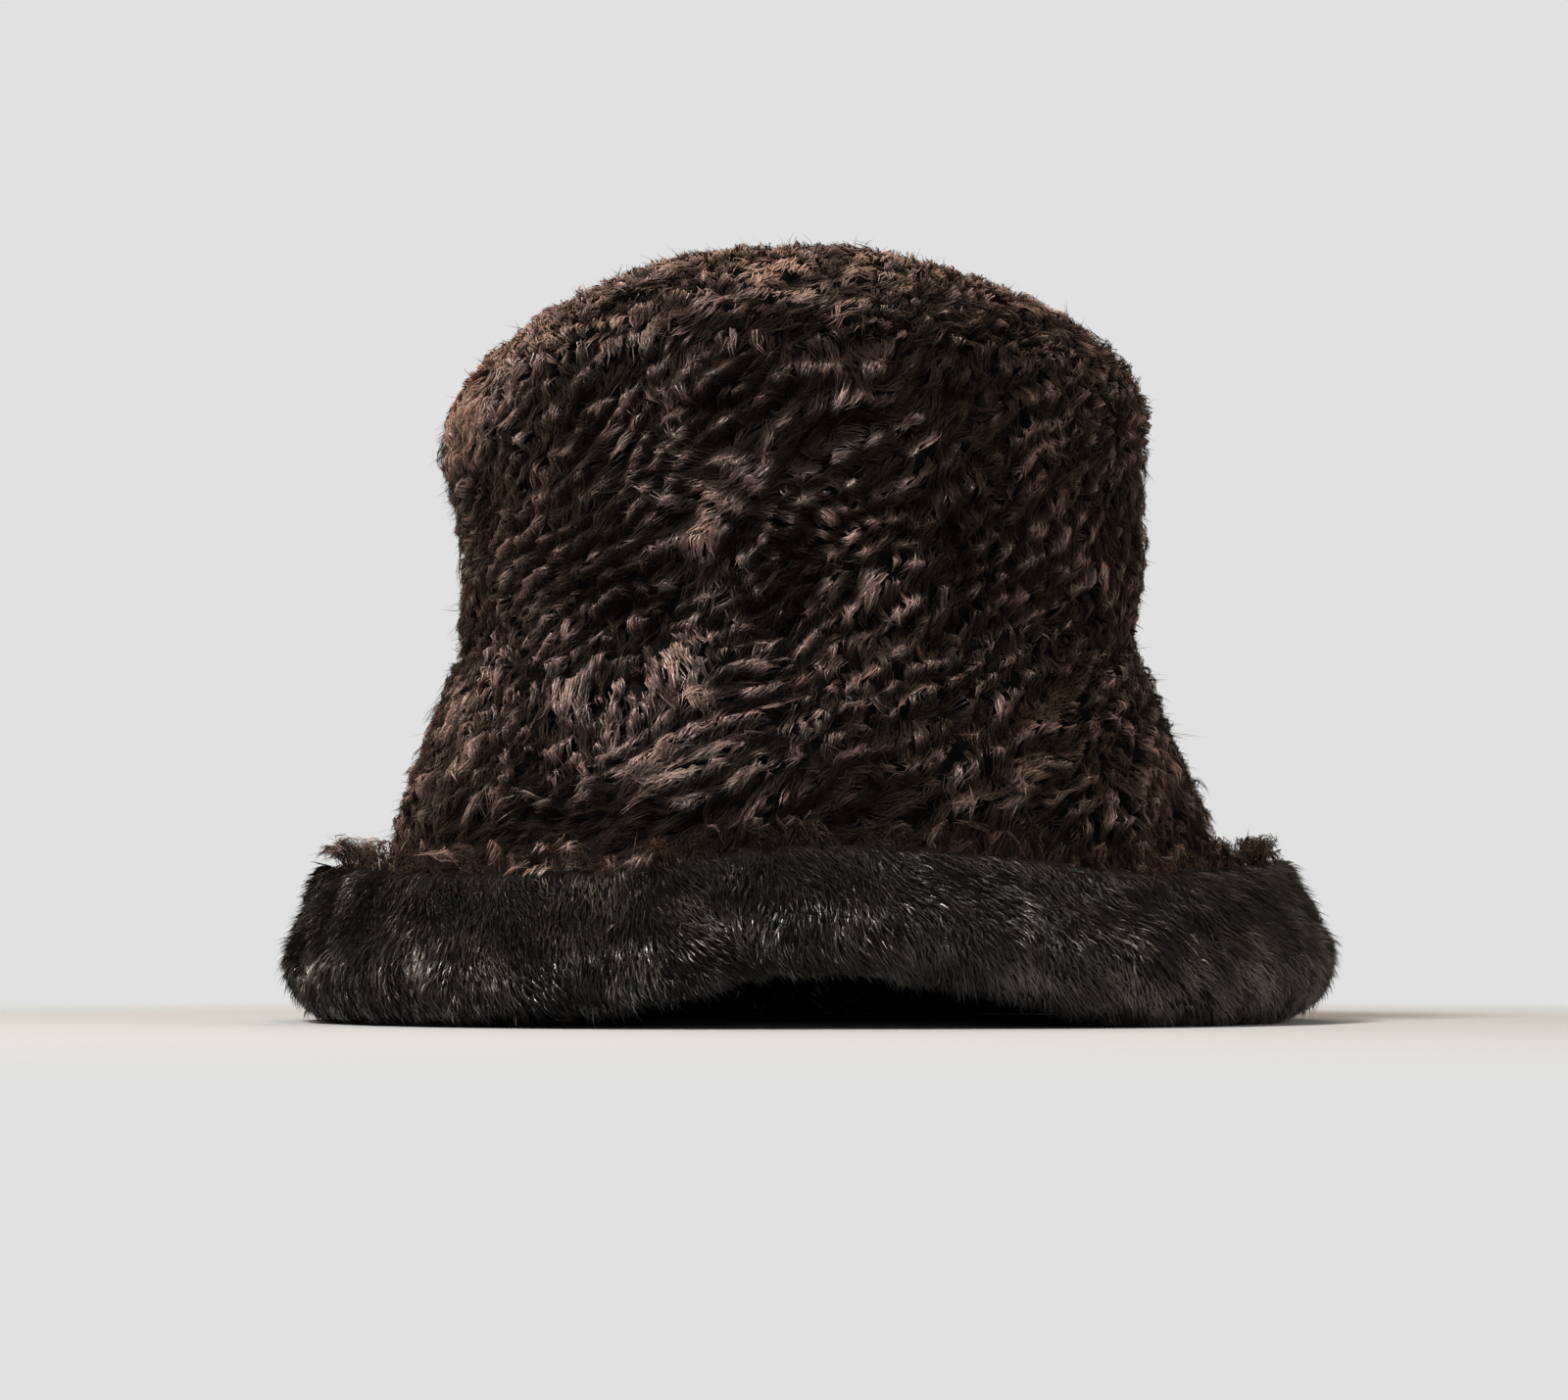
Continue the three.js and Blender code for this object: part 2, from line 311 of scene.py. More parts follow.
def brim_section(azimuth):
    """The brim's backing in one upright section: slope, then fold, then flap."""
    foot = np.radians(around_brim(SLOPE, azimuth))
    top = math.radians(FLARE_AT_SEAM)
    radius = around_brim(BEND, azimuth)
    turn = np.radians(around_brim(TURN, azimuth))
    flap = around_brim(FLAP, azimuth)
    end = foot + turn
    hanging = radius * (np.sin(end) - np.sin(foot)) + flap * np.cos(end)
    drop = np.where(end >= np.pi / 2, radius * (1 - np.sin(foot)), hanging)
    fall = HEAD_SEAM_HEIGHT - around_brim(LOWEST, azimuth) - drop
    curve = fall / (np.sin(foot) - math.sin(top))
    slope = curve * (foot - top)
    return {
        "foot": foot,
        "radius": radius,
        "end": end,
        "fall": fall,
        "curve": curve,
        "slope": slope,
        "bend": radius * turn,
        "edge": slope + radius * turn + flap,
        "folded": smooth(turn, math.radians(20), math.radians(110)),
    }


def brim_backing(section, length):
    """Lean, distance out and height at a length along the backing from the head seam."""
    top = math.radians(FLARE_AT_SEAM)
    foot = section["foot"]
    radius = section["radius"]
    curve = section["curve"]
    on_slope = np.clip(length, 0, section["slope"])
    in_bend = np.clip(length - section["slope"], 0, section["bend"])
    past = np.maximum(length - section["slope"] - section["bend"], 0)
    lean_slope = top + (foot - top) * on_slope / section["slope"]
    lean = lean_slope + in_bend / radius
    out = curve * (math.cos(top) - np.cos(lean_slope))
    out = out + radius * (np.cos(foot) - np.cos(foot + in_bend / radius))
    height = HEAD_SEAM_HEIGHT - curve * (np.sin(lean_slope) - math.sin(top))
    height = height - radius * (np.sin(foot + in_bend / radius) - np.sin(foot))
    return lean, out + past * np.sin(lean), height - past * np.cos(lean)


def brim_shell(azimuth, length, depth):
    """The brim's curly side. Past the free edge the depth turns round a pivot, which rolls
    the rim over."""
    section = brim_section(azimuth)
    length = np.maximum(length, 0)
    on = np.minimum(length, section["edge"])
    lean, out, height = brim_backing(section, on)
    near_fold = smooth(on, section["slope"] - FOLD_COMPRESSION,
                       section["slope"] - FOLD_COMPRESSION / 3)
    thin = 1 - (1 - CURLY_FUR_IN_FOLD / CURLY_FUR) * section["folded"] * near_fold
    roll = (length - on) / (CURLY_FUR - RIM_PIVOT)
    arm = (depth - RIM_PIVOT) * thin
    along = arm * np.sin(roll)
    off = RIM_PIVOT * thin + arm * np.cos(roll)
    swell = bump_sum(SWELLS, azimuth, height) * np.maximum(0, 1 - on / 40)
    out = out + swell + off * np.cos(lean) + along * np.sin(lean)
    return place(azimuth, 1, out, height + off * np.sin(lean) - along * np.cos(lean))


def facing_shell(azimuth, length, depth):
    """The brim's sleek side: depth off the backing the other way."""
    section = brim_section(azimuth)
    lean, out, height = brim_backing(section, length)
    swell = bump_sum(SWELLS, azimuth, height) * np.maximum(0, 1 - length / 40)
    out = out + swell - depth * np.cos(lean)
    return place(azimuth, 1, out, height - depth * np.sin(lean))


# The four cloths: a surface each, with its own measures.

class Cloth:
    """A surface with what the pile needs: steps for its slopes, its level on the hat, which
    way the nap runs, its rows of curls, and how deep its fur is."""

    def __init__(self, surface, steps, level, nap, rows, depth):
        self.surface = surface
        self.step_u, self.step_v = steps
        self.level = level
        self.nap = nap
        self.rows = rows
        self.depth = depth

    def at(self, u, v, depth):
        """Point, the two slopes along the surface, and the outward normal."""
        point = self.surface(u, v, depth)
        slope_u = (self.surface(u + self.step_u, v, depth) - point) / self.step_u
        slope_v = (self.surface(u, v + self.step_v, depth) - point) / self.step_v
        outward = unit(np.cross(slope_u, slope_v))
        deeper = self.surface(u, v, depth + 0.5) - point
        side = np.sign((outward * deeper).sum(-1, keepdims=True))
        return point, slope_u, slope_v, outward * np.where(side == 0, 1, side)

    def relief(self, u, v):
        """Height of the curls, 0 in the creases between them and 1 on their tops: rounded
        rows with narrow creases, cut across by weaker ones, both bent by noise."""
        point, row, cut = self.rows(u, v)
        row = row + 2.6 * wander(point, 56, 201) + 1.1 * wander(point, 19, 202)
        cut = cut + 2.2 * wander(point, 34, 203) + 1.1 * wander(point, 13, 204)
        rows = np.abs(np.sin(row / 2))
        cuts = np.abs(np.sin(cut / 2)) ** 0.8
        strength = 0.78 + 0.22 * np.tanh(1.8 * wander(point, 40, 205))
        return 1 - strength * (1 - rows * (0.35 + 0.65 * cuts))

    def element(self, u, v):
        """Area in square millimetres for one unit of each parameter."""
        _, slope_u, slope_v, _ = self.at(u, v, self.depth * 0.6)
        return np.linalg.norm(np.cross(slope_u, slope_v), axis=-1)


def azimuth_of(points):
    """Degrees from the front, towards +X, of points in space."""
    return np.degrees(np.arctan2(points[..., 0] + CENTRE_X, -(points[..., 1] + CENTRE_Y)))


def down_crown(slope_u, slope_v):
    """Nap of the crown's side: downwards, against its level."""
    return -unit(slope_v)


def down_brim(slope_u, slope_v):
    """Nap of the brim and the facing: downwards, along their length."""
    return unit(slope_v)


def forward(slope_u, slope_v):
    """Nap of the tip: from the back to the front, and a little to the wearer's right."""
    return np.broadcast_to(unit(np.array([-0.22, -1.0, -0.35])), slope_u.shape)


def crown_level(azimuth, level):
    """The crown's side is laid out by its level."""
    return level


def dome_level(a, b):
    """The dome's level is its base and the length up its arc."""
    return DOME_BASE + (1 - np.hypot(a, b)) * DOME_RISE * np.pi / 2


def slanted_rows(azimuth, level):
    """A place in space, and there the phases of the rows round the side and brim, which rise
    towards +X at the front, and of the creases that cut them. Whole numbers of rows go
    round, so that they close."""
    t = np.radians(azimuth)
    x = ROWS_RADIUS * np.sin(t)
    y = -ROWS_RADIUS * np.cos(t)
    spot = np.stack(np.broadcast_arrays(x, y, level), -1)
    row = ROWS_AROUND * t - 2 * np.pi * level / ROW_RISE
    return spot, row, CUTS_AROUND * t + 2 * np.pi * level / CUT_RISE


def tip_rows(a, b):
    """The same for the tip's rows, which run from side to side and swirl."""
    x = TIP_HALF_WIDTH * a
    y = TIP_HALF_DEPTH * b
    spot = np.stack(np.broadcast_arrays(x, y, TIP_LEVEL), -1)
    swirl = 7 * wander(spot, 50, 206)
    row = 2 * np.pi * (y + 0.3 * x + swirl) / TIP_ROW_SPACING
    return spot, row, 2 * np.pi * (x - 0.3 * y + swirl) / TIP_CUT_SPACING


def brim_level(azimuth, length):
    """The brim's level goes on down from the head seam."""
    return HEAD_SEAM_HEIGHT - length


def brim_rows(azimuth, length):
    """The brim's rows go on from those of the crown's side."""
    return slanted_rows(azimuth, brim_level(azimuth, length))


side_cloth = Cloth(crown_band, STEPS, crown_level, down_crown, slanted_rows, CURLY_FUR)
tip_cloth = Cloth(crown_dome, TIP_STEPS, dome_level, forward, tip_rows, CURLY_FUR)
brim_cloth = Cloth(brim_shell, STEPS, brim_level, down_brim, brim_rows, CURLY_FUR)
facing_cloth = Cloth(facing_shell, STEPS, brim_level, down_brim, brim_rows, SLEEK_FUR)


def scatter(cloth, low, high, per_cm2, seed, keep):
    """Parameters of points spread evenly over a cloth between two corners: even parameters,
    thinned by the area at each place and by the share, from 0 to 1, that keep gives."""
    low = np.array(low, float)
    span = np.array(high, float) - low
    probe = low + even_points(4000, seed) * span
    most = np.quantile(cloth.element(*probe.T) * (keep(*probe.T) > 0), 0.995)
    count = int(most * span[0] * span[1] * per_cm2 / 100)
    u, v = (low + even_points(count, seed + 1) * span).T
    wanted = cloth.element(u, v) / most * keep(u, v)
    chosen = np.random.default_rng(seed + 2).random(count) < wanted
    return u[chosen], v[chosen]


def combing(azimuth, level):
    """Heading, length, curl and height at a place: the mean of the plain lie and the table's
    rows, each row weighed by e to the minus its squared distance."""
    weight = PLAIN_WEIGHT
    sums = [PLAIN_WEIGHT * value for value in PLAIN_LIE]
    for at, middle, around, up, *values in COMBINGS:
        near = np.exp(-(turned(azimuth - at) / around) ** 2 - ((level - middle) / up) ** 2)
        weight = weight + near
        sums = [total + near * value for total, value in zip(sums, values)]
    return [total / weight for total in sums]


def parting(azimuth, level):
    """How far the pile has sunk, from 0 up to MOST_SUNK."""
    rows = [(at, middle, sunk, around, up) for at, middle, around, up, sunk in PARTINGS]
    return np.clip(bump_sum(rows, azimuth, level), 0, MOST_SUNK)


# Locks and the hairs in them.

LOCK_STEPS = 9

# Depths of a lock: its foot, its top in a crease, what a curl adds to that, the least and the
# most of it, and what the rope over the turned-up edge adds to the most.
LOCK_FOOT = 3.8
LOCK_IN_CREASE = 6.2
CURL_HEIGHT = 5.8
LOWEST_TOP = 4.6
HIGHEST_TOP = 14
ROPE_EXTRA = 5

# Least and greatest length and half width of a lock, and width of a hair.
LOCK_LENGTH = (7, 12)
LOCK_HALF_WIDTH = (0.6, 1.2)
HAIR_WIDTH = (0.24, 0.42)

# Shares of its lock at which a hair begins, and over which it runs.
HAIR_BEGINS = (0, 0.45)
HAIR_SPAN = (0.5, 0.75)

# The share of hairs that stray past the lock's tip, their ends, width and lift.
STRAY_SHARE = 0.025
STRAY_ENDS = (1.1, 1.35)
STRAY_WIDTH = 0.22
STRAY_LIFT = 1.8

# The most that the pile sinks in a parting, and what that takes off its height, and off its tint
# as painted shade.
MOST_SUNK = 0.8
SUNK_HEIGHT = 0.6
SUNK_PAINTED_SHADE = 0.75

# Depths at which the sleek pile leaves its cloth, and at which it lies.
PILE_FOOT = 1.2
PILE_DEPTH = 5.2


def comb(cloth, u, v, heading, length, curl, depths):
    """Walks from each seed along the cloth. Every step goes along the nap, turned by the
    heading and by a curl that grows with the square of the share walked. depths gives the
    depth at each share and place. Returns a row for each lock, which holds at every step
    the point, the normal, both slopes and both parameters."""
    rows = []
    for k in range(LOCK_STEPS + 1):
        share = k / LOCK_STEPS
        point, slope_u, slope_v, outward = cloth.at(u, v, depths(share, u, v))
        rows.append(np.column_stack([point, outward, slope_u, slope_v, u, v]))
        nap = cloth.nap(slope_u, slope_v)
        nap = unit(nap - outward * (nap * outward).sum(-1, keepdims=True))
        across = np.cross(outward, nap)
        turn = np.radians(heading + curl * share**2)[:, None]
        step = (nap * np.cos(turn) + across * np.sin(turn)) * (length / LOCK_STEPS)[:, None]
        uu = (slope_u * slope_u).sum(-1)
        vv = (slope_v * slope_v).sum(-1)
        uv = (slope_u * slope_v).sum(-1)
        su = (step * slope_u).sum(-1)
        sv = (step * slope_v).sum(-1)
        spread = np.maximum(uu * vv - uv * uv, 0.02 * uu * vv + 1e-9)
        u = u + np.clip((su * vv - sv * uv) / spread, -15 * cloth.step_u, 15 * cloth.step_u)
        v = v + np.clip((sv * uu - su * uv) / spread, -10 * cloth.step_v, 10 * cloth.step_v)
    return np.stack(rows, 1)


def along(rows, lock, share):
    """Values on each lock's polyline at shares of its length; past its end it runs straight."""
    at = np.clip(share, 0, None) * LOCK_STEPS
    i = np.minimum(at.astype(int), LOCK_STEPS - 1)
    part = (at - i)[..., None]
    return rows[lock[:, None], i] * (1 - part) + rows[lock[:, None], i + 1] * part


def ribbons(path, outward, lean, width):
    """Tapered ribbons on paths of three points. The ribbon's face turns about its path by the
    lean at each point. Returns vertices (hair, 5, 3)."""
    ahead = unit(np.gradient(path, axis=1))
    side = unit(np.cross(outward, ahead))
    up = np.cross(ahead, side)
    edge = side * np.cos(lean)[..., None] - up * np.sin(lean)[..., None]
    half = 0.5 * width[:, None, None] * np.array([0.85, 1.0])[None, :, None]
    left = path[:, :2] - edge[:, :2] * half
    right = path[:, :2] + edge[:, :2] * half
    pairs = np.stack([left, right], 2).reshape(len(path), 4, 3)
    return np.concatenate([pairs, path[:, 2:]], 1)


def doubled(values):
    """Values at a ribbon's points, given to the vertices on both its sides and to its tip."""
    return np.concatenate([np.repeat(values[:, :2], 2, 1), values[:, 2:]], 1)


def ribbon_faces(count):
    """Triangles of ribbons of five vertices: two for the first length and one for the tip."""
    one = np.array([(0, 2, 3), (0, 3, 1), (2, 4, 3)])
    return (one[None] + 5 * np.arange(count)[:, None, None]).reshape(-1, 3)


# Where across each ribbon its vertices lie, for the UV map.
RIBBON_SIDES = np.array([0, 1, 0, 1, 0.5])


def seen_share(azimuth):
    """More hairs where the hat shows its front, fewer and broader ones behind."""
    return 0.42 + 0.58 * smooth(np.cos(np.radians(azimuth)), -0.55, 0.1)


def lay_locks(cloth, u, v, rng, seed):
    """Lines of the locks rooted at u, v, and what all hairs of a lock share. A lock rises
    from its foot, then runs at a depth that follows the curls."""
    count = len(u)
    root = cloth.surface(u, v, cloth.depth * 0.5)
    azimuth = azimuth_of(root)
    level = cloth.level(u, v)
    heading, longer, curly, taller = combing(azimuth, level)
    sunk = parting(azimuth, level)
    heading = heading + 20 * wander(root, 45, seed + 1) + rng.normal(0, 14, count)
    length = longer * rng.uniform(*LOCK_LENGTH, count) * (1 + 0.15 * wander(root, 30, seed + 2))
    curl = curly * (30 * wander(root, 26, seed + 3) + rng.normal(0, 34, count))
    layer = rng.normal(0, 0.6, count)
    tips = rng.normal(0.15, 1.0, count)
    full = taller * (1 - SUNK_HEIGHT * sunk)
    rope = smooth(-level, 20, 40)
    creased = np.clip(curly, 0.2, 1)

    def depths(share, u, v):
        height = 1 - creased * (1 - cloth.relief(u, v))
        rise = math.sin(min(share / 0.35, 1) * math.pi / 2)
        top = full * (LOCK_IN_CREASE + CURL_HEIGHT * height) + layer
        top = top + tips * max(share - 0.5, 0) / 0.5
        top = np.clip(top, LOWEST_TOP, HIGHEST_TOP + ROPE_EXTRA * rope)
        return LOCK_FOOT + (top - LOCK_FOOT) * rise

    lines = comb(cloth, u, v, heading, length, curl, depths)
    half = rng.uniform(*LOCK_HALF_WIDTH, count)
    tight = rng.uniform(0.35, 0.9, count)
    # The tone is a random change, plus the table's broad painted light and shade.
    tone = 0.07 * rng.normal(size=count) + 0.12 * wander(root, 20, seed + 5)
    tone = tone + 0.11 * wander(root, 60, seed + 6) + bump_sum(PAINTED_LIGHT_AND_SHADE, azimuth, level) - 0.09
    return lines, dict(
        azimuth=azimuth,
        curly=curly,
        creased=creased,
        fullness=CURL_HEIGHT * full * creased,
        half=half,
        tight=tight,
        tone=tone + 0.1 * rope,
        # Caps the painted highlight of the rope's curls to the right of the front.
        brightest=1 - 0.52 * rope * smooth(azimuth, -20, 8),
        # Painted shade on the hairs in partings.
        painted_parting_shade=1 - SUNK_PAINTED_SHADE * sunk,
    )


def grow_locks(cloth, u, v, seed, hairs):
    """Hairs of every lock rooted at u, v. They follow its line side by side, draw together a
    little towards its tip, sway, and rise and sink with the curls. Their tint grows with the
    curls' height to the power 2.4, which paints shade in the creases and highlights on the
    curls' tops. Returns vertices, shares of the lock's length, and tints."""
    rng = np.random.default_rng(seed)
    lines, locks = lay_locks(cloth, u, v, rng, seed)
    count = len(u)
    share = seen_share(locks["azimuth"])
    lock = np.repeat(np.arange(count), np.round(hairs * share).astype(int))
    total = len(lock)
    own = {name: values[lock, None] for name, values in locks.items()}

    across = rng.normal(0, 1, total)[:, None] * own["half"]
    begin = rng.uniform(*HAIR_BEGINS, total)
    stop = begin + rng.uniform(*HAIR_SPAN, total)
    stray = rng.random(total) < STRAY_SHARE
    stop = np.where(stray, rng.uniform(*STRAY_ENDS, total), stop)
    shares = begin[:, None] + (stop - begin)[:, None] * np.array([0, 0.5, 1])
    here = along(lines, lock, shares)
    centre, outward, slope_u, slope_v, spot = np.split(here, [3, 6, 9, 12], -1)
    outward = unit(outward)
    side = unit(np.cross(outward, unit(np.gradient(centre, axis=1))))

    gather = 1 - (1 - own["tight"]) * smooth(shares, 0.4, 1.1)
    shift = rng.normal(0, 0.3, total)[:, None] * np.sin(
        shares * rng.uniform(4, 9, total)[:, None] + rng.uniform(0, 6.3, total)[:, None]
    )
    wave = shares * rng.uniform(4, 7, count)[lock, None] + rng.uniform(0, 6.3, count)[lock, None]
    swing = (locks["curly"] * rng.normal(0, 0.6, count))[lock, None]
    drift = across * gather + (shift + swing * np.sin(wave))
    per_u = (side * slope_u).sum(-1) / (slope_u**2).sum(-1)
    per_v = (side * slope_v).sum(-1) / (slope_v**2).sum(-1)

    def relief_beside(distance):
        return cloth.relief(spot[..., 0] + distance * per_u, spot[..., 1] + distance * per_v)

    height = relief_beside(drift)
    rise = own["fullness"] * (height - cloth.relief(spot[..., 0], spot[..., 1]))
    lift = np.clip(rise + rng.normal(0, 0.3, total)[:, None], -3, 3)
    lift = lift + np.where(stray, STRAY_LIFT, 0)[:, None] * smooth(shares, 0.5, 1.3)
    path = centre + side * drift[..., None] + outward * lift[..., None]
    slant = own["fullness"] * (relief_beside(drift + 0.6) - height) / 0.6
    lean = rng.normal(0, 0.3, total)[:, None] - np.arctan(np.clip(slant, -1.3, 1.3))
    broad = rng.uniform(*HAIR_WIDTH, total) * share[lock] ** -0.8
    vertices = ribbons(path, outward, lean, np.where(stray, STRAY_WIDTH, broad))
    # Painted shade in the creases and painted highlight on the curls' tops: the tint follows the
    # relief's height.
    tint = (1 - own["creased"] * (1 - height)) ** 2.4 + own["tone"]
    tint = tint + rng.normal(0, 0.065, total)[:, None]
    tint = np.clip(tint, 0, own["brightest"]) * own["painted_parting_shade"]
    return vertices, doubled(shares), doubled(tint)


def grow_pile(cloth, u, v, seed, length, width, heading):
    """Short sleek hairs that leave the cloth and lie along the nap. Some carry painted glints
    in their tint. Towards +X, on the side in painted shade, they lose those glints, are a
    little darker, and grow paler at the fold as painted light through the fuzz there."""
    rng = np.random.default_rng(seed)
    count = len(u)
    root = cloth.surface(u, v, cloth.depth * 0.5)
    turn = heading + 16 * wander(root, 26, seed + 1) + rng.normal(0, 11, count)
    reach = length * rng.uniform(0.75, 1.25, count)
    bend = rng.normal(0, 16, count)
    tuft = 0.5 + 0.5 * np.tanh(1.4 * wander(root, 11, seed + 2))
    top = PILE_DEPTH * (0.78 + 0.3 * tuft) + rng.normal(0, 0.35, count)
    top = top + np.where(rng.random(count) < 0.07, 2, 0)

    def depths(share, u, v):
        return PILE_FOOT + (top - PILE_FOOT) * share**0.5

    lines = comb(cloth, u, v, turn, reach, bend, depths)
    shares = np.tile(np.linspace(0, 1, 3), (count, 1))
    here = along(lines, np.arange(count), shares)
    lean = np.repeat(rng.normal(0, 0.45, count)[:, None], 3, 1)
    wide = width * rng.uniform(0.7, 1.3, count)
    vertices = ribbons(here[..., :3], unit(here[..., 3:6]), lean, wide)
    # Painted shade on the side towards +X, away from the light, and painted light near the fold
    # there.
    shaded = smooth(azimuth_of(root), -14, 20)
    near_fold = smooth(-root[:, 2], -42, -12)
    uneven = 0.08 * rng.normal(size=count) + 0.12 * wander(root, 15, seed + 3)
    tint = 0.46 + uneven * (1 - 0.5 * shaded) + shaded * (0.2 * near_fold - 0.05)
    tint = np.clip(tint, 0, 0.66)[:, None] * np.ones(3)
    # Painted glints: pale middles on a share of hairs, in clusters, none on the shaded side.
    clustered = 0.13 + 0.1 * np.tanh(2 * wander(root, 24, seed + 4))
    glint = rng.random(count) < clustered * (1 - shaded)
    tint[:, 1] = np.where(glint, rng.uniform(0.85, 1, count), tint[:, 1])
    return vertices, doubled(shares), doubled(tint)


# Meshes.

def mesh_piece(name, vertices, faces, material, uv=None, tint=None):
    """A mesh object at the origin from vertices in millimetres and triangles. Hairs also
    have a UV map and a tint."""
    mesh = bpy.data.meshes.new(name)
    mesh.vertices.add(len(vertices))
    vertices[:, 2] = np.maximum(vertices[:, 2], FLOOR_CLEARANCE)
    mesh.vertices.foreach_set("co", (vertices * MM).astype(np.float32).ravel())
    mesh.loops.add(faces.size)
    mesh.loops.foreach_set("vertex_index", faces.astype(np.int32).ravel())
    mesh.polygons.add(len(faces))
    mesh.polygons.foreach_set("loop_start", np.arange(0, faces.size, 3, dtype=np.int32))
    mesh.polygons.foreach_set("use_smooth", np.ones(len(faces), bool))
    if uv is not None:
        layer = mesh.uv_layers.new(name="strand")
        layer.data.foreach_set("uv", uv[faces.ravel()].astype(np.float32).ravel())
        field = mesh.attributes.new("tint", "FLOAT", "POINT")
        field.data.foreach_set("value", tint.astype(np.float32))
    mesh.update(calc_edges=True)
    mesh.materials.append(material)
    piece = bpy.data.objects.new(name, mesh)
    bpy.context.scene.collection.objects.link(piece)
    return piece


def fur_piece(name, grown, material):
    """Joins hairs in one mesh. Each hair has its own column of the UV map."""
    vertices, places, tint = grown
    count = len(vertices)
    column = np.arange(count)[:, None] % 997
    uv = np.stack([column + RIBBON_SIDES + 0 * places, places], -1)
    faces = ribbon_faces(count)
    return mesh_piece(name, vertices.reshape(-1, 3), faces, material, uv.reshape(-1, 2),
                      tint.ravel())


def shell_of_loops(loops, closed):
    """Triangles of one surface from a loop of points at each azimuth. An open line starts
    and ends on the axis, where each end is one vertex."""
    around, count, _ = loops.shape
    index = np.arange(around * count).reshape(around, count)
    if not closed:
        index[:, 0] = index[0, 0]
        index[:, -1] = index[0, -1]
    stacks = count if closed else count - 1
    here = np.arange(around)[:, None]
    there = (here + 1) % around
    j = np.arange(stacks)[None]
    k = (j + 1) % count
    a, b = index[here, j], index[there, j]
    c, d = index[there, k], index[here, k]
    faces = np.concatenate([np.stack([a, b, c], -1), np.stack([a, c, d], -1)]).reshape(-1, 3)
    whole = (faces[:, 0] != faces[:, 1]) & (faces[:, 1] != faces[:, 2])
    whole &= faces[:, 2] != faces[:, 0]
    faces = faces[whole]
    used, packed = np.unique(faces, return_inverse=True)
    return loops.reshape(-1, 3)[used], packed.reshape(-1, 3)


def lumps(points, seed):
    """The undercoat's uneven height, about 1 either way."""
    return 0.6 * wander(points, 14, seed) + 0.4 * wander(points, 6, seed + 1)


UNDERCOAT_CREASE = 3.4
UNDERCOAT_CREST = 7.4

# How far the cloth and the seeds of locks go over the rim, past the backing's free edge.
CLOTH_PAST_EDGE = 20
SEEDS_PAST_EDGE = 17


def undercoat(cloth, u, v, seed, fuller=0):
    """The undercoat's surface: it follows the curls, lower down and with lumps of its own,
    and sinks where the pile has parted."""
    azimuth = azimuth_of(cloth.surface(u, v, UNDERCOAT_CREASE))
    height = cloth.relief(u, v) * (1 - parting(azimuth, cloth.level(u, v)))
    depth = UNDERCOAT_CREASE + (UNDERCOAT_CREST - UNDERCOAT_CREASE) * height + fuller
    return cloth.surface(u, v, depth + 0.6 * lumps(cloth.surface(u, v, depth), seed))


def crown_tip_cloth(material):
    """The tip's cloth: an undercoat from apex to seam, and the backing back to the apex."""
    azimuth = (-180 + np.arange(120) * 3.0)[:, None]
    reach = 1 - (tip_seam_angle(azimuth) + math.radians(0.45)) / (np.pi / 2)
    shares = np.linspace(0, 1, 30)[None]
    outer = reach * shares
    inner = reach * shares[:, ::-1]
    turn = np.radians(azimuth)
    a, b = np.sin(turn), -np.cos(turn)
    loops = np.concatenate([
        undercoat(tip_cloth, a * outer, b * outer, 60),
        crown_dome(a * inner, b * inner, 0 * inner),
    ], 1)
    return mesh_piece("crown_tip_cloth", *shell_of_loops(loops, False), material)


def crown_side_cloth(material):
    """The side's cloth: an undercoat from the head seam to the tip seam, and its backing."""
    azimuth = (-180 + np.arange(180) * 2.0)[:, None]
    top = DOME_BASE + tip_seam_angle(azimuth) * DOME_RISE
    foot = HEAD_SEAM_HEIGHT + 0.4
    up = foot + (top - foot) * np.linspace(0, 1, 24)[None]
    down = foot + (top - foot) * np.linspace(1, 0, 12)[None]
    loops = np.concatenate([
        undercoat(side_cloth, azimuth + 0 * up, up, 61),
        crown_band(azimuth + 0 * down, down, 0 * down),
    ], 1)
    return mesh_piece("crown_side_cloth", *shell_of_loops(loops, True), material)


def brim_outer_cloth(material):
    """The brim's curly cloth: an undercoat from the head seam over the rim, and its backing."""
    azimuth = (-180 + np.arange(200) * 1.8)[:, None]
    section = brim_section(azimuth)
    rim = section["edge"] + CLOTH_PAST_EDGE
    down = rim * np.linspace(0, 1, 46)[None]
    back = section["edge"] * np.linspace(1, 0, 26)[None]
    past = down - section["edge"]
    open_edge = 1.5 * smooth(past, -14, 0) + 9 * smooth(past, 14, 19)
    rope = 1.6 * smooth(past, -14, -6)
    fuller = open_edge + (rope - open_edge) * section["folded"]
    loops = np.concatenate([
        undercoat(brim_cloth, azimuth + 0 * down, down, 62, fuller),
        brim_shell(azimuth + 0 * back, back, 0 * back + 0.15),
    ], 1)
    return mesh_piece("brim_outer_cloth", *shell_of_loops(loops, True), material)


def brim_facing_cloth(material):
    """The facing's cloth, from just below the head seam to the free edge."""
    azimuth = (-180 + np.arange(200) * 1.8)[:, None]
    edge = brim_section(azimuth)["edge"] - FACING_SHORT
    down = 3 + (edge - 3) * np.linspace(0, 1, 46)[None]
    back = down[:, ::-1]
    plain = facing_shell(azimuth + 0 * back, back, 3.0)
    pile = facing_shell(azimuth + 0 * back, back, 3.1 + 0.35 * wander(plain, 9, 64))
    loops = np.concatenate([facing_shell(azimuth + 0 * down, down, 0 * down + 0.15), pile], 1)
    return mesh_piece("brim_facing_cloth", *shell_of_loops(loops, True), material)


# Finishes. A source is a node and one of its outputs.

# Sockets of the colour mix, which other kinds of mix name the same.
MIX_FACTOR = 0
MIX_FIRST = 6
MIX_SECOND = 7
MIX_RESULT = 2
